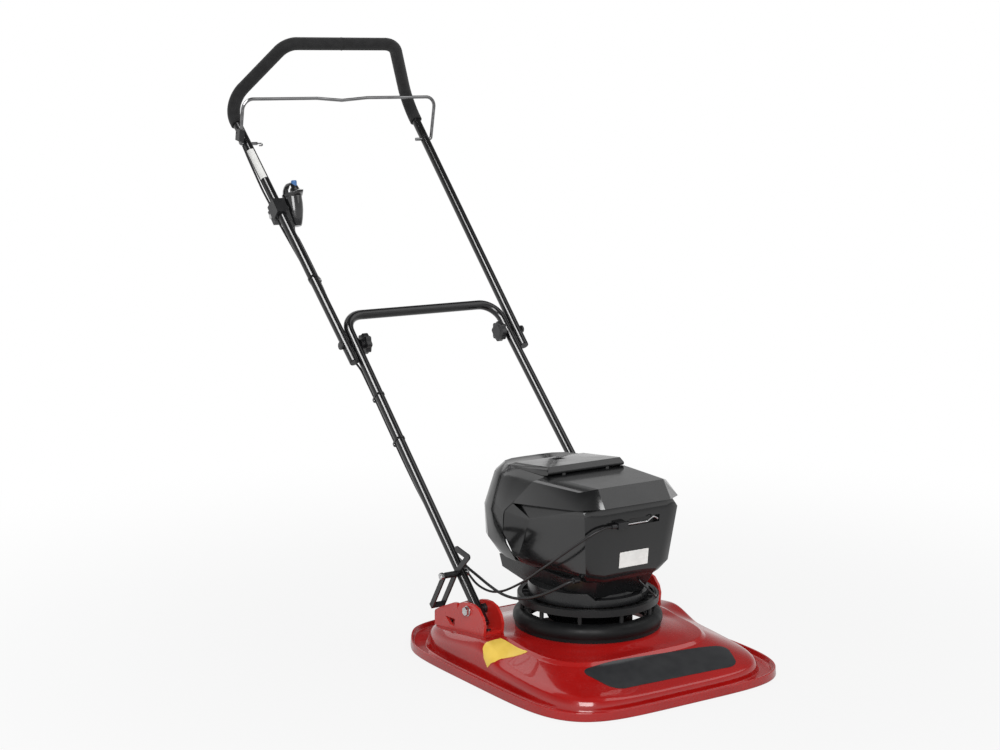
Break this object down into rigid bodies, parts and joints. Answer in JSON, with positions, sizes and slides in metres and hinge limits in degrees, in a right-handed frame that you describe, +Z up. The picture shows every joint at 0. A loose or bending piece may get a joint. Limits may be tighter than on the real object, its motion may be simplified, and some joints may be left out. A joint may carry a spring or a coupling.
{
  "type": "hover mower",
  "caption": "Battery hover mower: a moulded air-cushion deck under a motor head with an open air intake, and a folding tube handle with a bail bar.",
  "frame": {"origin": "on the ground, on the axis of the blade spindle", "axes": "+Z up; the mower faces -Y and the operator stands at +Y; +X to the operator's left"},
  "size_m": [0.6, 1.4818, 1.2907],
  "materials": {
    "deck_paint": "glossy red moulded shell",
    "bracket_red": "red powder coat",
    "head_black": "gloss black moulding",
    "trim_black": "satin black moulding",
    "tube_black": "gloss black powder coat",
    "foam": "matt black foam",
    "zinc": "bright zinc plate",
    "bail_steel": "dark zinc rod",
    "cable_black": "black sheath",
    "button_blue": "blue button",
    "steel": "plain steel",
    "copper": "copper winding",
    "board": "circuit board and heat sink",
    "nylon": "natural nylon"
  },
  "bodies": {
    "chassis": {"deck_shell": "deck_paint", "bracket_right": "bracket_red", "bracket_left": "bracket_red", "bracket_screws": "zinc", "pivot_bolts": "zinc", "intake_bell": "trim_black", "intake_guard": "trim_black", "motor_base": "head_black", "motor_bearings": "zinc", "motor_stator": "copper", "lower_housing": "head_black", "front_hood": "head_black", "hood_screws": "zinc", "hinge_pin": "zinc", "battery_pack": "trim_black", "battery_rails": "trim_black", "motor_controller": "board", "cable_anchor": "trim_black", "lead_gland": "trim_black", "sensor_lead": "cable_black", "lead_free": "cable_black", "cable_free": "cable_black"},
    "battery_cover": {"battery_cover": "head_black"},
    "rotor": {"motor_shaft": "zinc", "motor_rotor": "steel", "impeller": "trim_black", "blade_spacers": "trim_black", "cutter_bar": "steel", "blade_bolt": "zinc"},
    "lower_handle": {"lower_handle": "tube_black", "pivot_bushes": "nylon", "lower_plugs": "trim_black", "fold_bolts": "zinc", "fold_washers": "zinc", "latch_bolt": "zinc", "latch_spacer": "zinc", "lower_ties": "trim_black", "lead_lower": "cable_black", "cable_lower": "cable_black", "lead_fold": "cable_black", "cable_fold": "cable_black"},
    "knob_right": {"knob_right": "trim_black"},
    "knob_left": {"knob_left": "trim_black"},
    "handle_latch": {"handle_latch": "tube_black"},
    "upper_handle": {"upper_handle": "tube_black", "upper_plugs": "trim_black", "grip_sleeve": "foam", "switch_pod": "trim_black", "pod_clamp": "trim_black", "pod_screw": "zinc", "upper_ties": "trim_black", "lead_upper": "cable_black", "cable_upper": "cable_black"},
    "bail": {"bail_bar": "bail_steel", "bail_block": "trim_black"},
    "start_button": {"start_button": "button_blue"},
    "interlock_rod": {"interlock_rod": "zinc"}
  },
  "joints": [
    {"name": "spindle", "type": "hinge", "parent": "chassis", "child": "rotor", "pos_m": [0, 0, 0.1], "axis": [0, 0, 1], "continuous": true},
    {"name": "cover_hinge", "type": "hinge", "parent": "chassis", "child": "battery_cover", "pos_m": [0, 0.0136, 0.4056], "axis": [1, 0, 0], "range_deg": [0, 65]},
    {"name": "handle_pivot", "type": "hinge", "parent": "chassis", "child": "lower_handle", "pos_m": [0, 0.1048, 0.1136], "axis": [1, 0, 0], "range_deg": [0, 45.5], "deforming": ["lead_free", "cable_free"]},
    {"name": "handle_fold", "type": "hinge", "parent": "lower_handle", "child": "upper_handle", "pos_m": [0, 0.60621, 0.60634], "axis": [1, 0, 0], "range_deg": [0, 128], "deforming": ["lead_fold", "cable_fold"]},
    {"name": "knob_right_turn", "type": "hinge", "parent": "lower_handle", "child": "knob_right", "pos_m": [-0.185, 0.60621, 0.60634], "axis": [1, 0, 0], "continuous": true},
    {"name": "knob_left_turn", "type": "hinge", "parent": "lower_handle", "child": "knob_left", "pos_m": [0.185, 0.60621, 0.60634], "axis": [1, 0, 0], "continuous": true},
    {"name": "latch_swing", "type": "hinge", "parent": "lower_handle", "child": "handle_latch", "pos_m": [-0.235, 0.16899, 0.17668], "axis": [1, 0, 0], "range_deg": [0, 75]},
    {"name": "bail_squeeze", "type": "hinge", "parent": "upper_handle", "child": "bail", "pos_m": [0, 1.04629, 1.0388], "axis": [-1, 0, 0], "range_deg": [0, 36], "stiffness_Nm_per_rad": 1.5, "springref_deg": -20.05},
    {"name": "start_press", "type": "slide", "parent": "upper_handle", "child": "start_button", "axis": [0, -0.0436, -0.999], "range_m": [0, 0.0035], "stiffness_N_per_m": 400, "springref_m": -0.002},
    {"name": "interlock_pull", "type": "slide", "parent": "chassis", "child": "interlock_rod", "axis": [-1, 0, 0], "range_m": [0, 0.012]}
  ],
  "couplings": [
    {"joint": "interlock_pull", "follows": "bail_squeeze", "m_per_rad": 0.01891}
  ]
}
